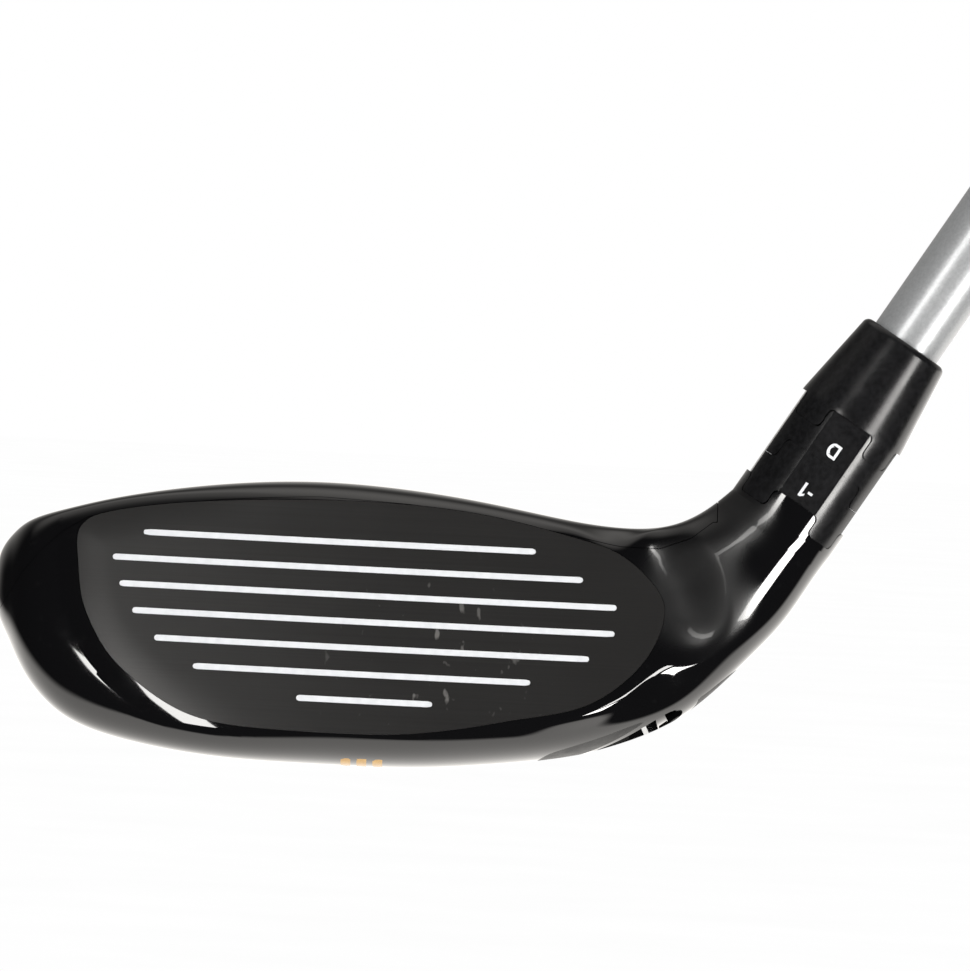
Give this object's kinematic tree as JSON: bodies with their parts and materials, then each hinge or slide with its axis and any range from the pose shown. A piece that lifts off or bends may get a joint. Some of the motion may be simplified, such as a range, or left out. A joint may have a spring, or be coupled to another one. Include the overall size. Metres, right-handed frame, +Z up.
{
  "type": "hybrid golf club",
  "caption": "Right-handed hybrid golf club with a hollow black head, lined flat face, toothed adjustable hosel adapter, tapered shaft and rubber grip.",
  "frame": {"origin": "centre of the grip's butt end, at the mouth of the vent hole", "axes": "+Z up with the club at address, -Y where the face looks, +X from toe to heel; the shaft comes down from the origin towards -X at a lie of 58.2 degrees"},
  "size_m": [0.6279, 0.0556, 0.8696],
  "materials": {
    "grip_rubber": "matt moulded rubber",
    "tape": "paper tape",
    "shaft_steel": "satin, finely drawn",
    "adapter_black": "black anodised, satin",
    "spring_steel": "plain",
    "cog_black": "black anodised, satin",
    "white_paint": "filled paint",
    "body_black": "gloss black",
    "face_steel": "dark, finely brushed",
    "crown_black": "gloss black",
    "sole_satin": "dark satin",
    "heel_matt": "matt black",
    "gold": "polished gold",
    "weight_steel": "raw",
    "bolt_steel": "plain",
    "seal_rubber": "plain"
  },
  "bodies": {
    "club": {"grip": "grip_rubber", "grip_cap": "grip_rubber", "grip_tape": "tape", "shaft": "shaft_steel", "sleeve": "adapter_black", "cog_clip": "spring_steel"},
    "upper_cog": {"upper_cog": "cog_black", "upper_mark": "white_paint"},
    "lower_cog": {"lower_cog": "cog_black", "lower_mark": "white_paint"},
    "head": {"head_body": "body_black", "crown": "crown_black", "face_plate": "face_steel", "score_paint": "white_paint", "sole_plate": "sole_satin", "heel_panel": "heel_matt", "sole_marks": "gold", "toe_weight": "weight_steel", "brace": "weight_steel", "bolt_washer": "spring_steel", "weight_ring": "seal_rubber"},
    "bolt": {"bolt": "bolt_steel"},
    "weight_screw": {"weight_screw": "bolt_steel"}
  },
  "joints": [
    {"name": "upper_cog_slide", "type": "slide", "parent": "club", "child": "upper_cog", "axis": [-0.527, 0, -0.8499], "range_m": [0, 0.0034]},
    {"name": "lower_cog_slide", "type": "slide", "parent": "upper_cog", "child": "lower_cog", "axis": [-0.527, 0, -0.8499], "range_m": [0, 0.0034]},
    {"name": "head_slide", "type": "slide", "parent": "lower_cog", "child": "head", "axis": [-0.527, 0, -0.8499], "range_m": [0, 0.032]},
    {"name": "bolt_turn", "type": "hinge", "parent": "head", "child": "bolt", "pos_m": [-0.52775, 0, -0.85117], "axis": [-0.527, 0, -0.8499], "range_deg": [-3600, 0]},
    {"name": "weight_turn", "type": "hinge", "parent": "head", "child": "weight_screw", "pos_m": [-0.56769, 0.0295, -0.86349], "axis": [0, 0.2079, -0.9781], "range_deg": [0, 1800]}
  ]
}
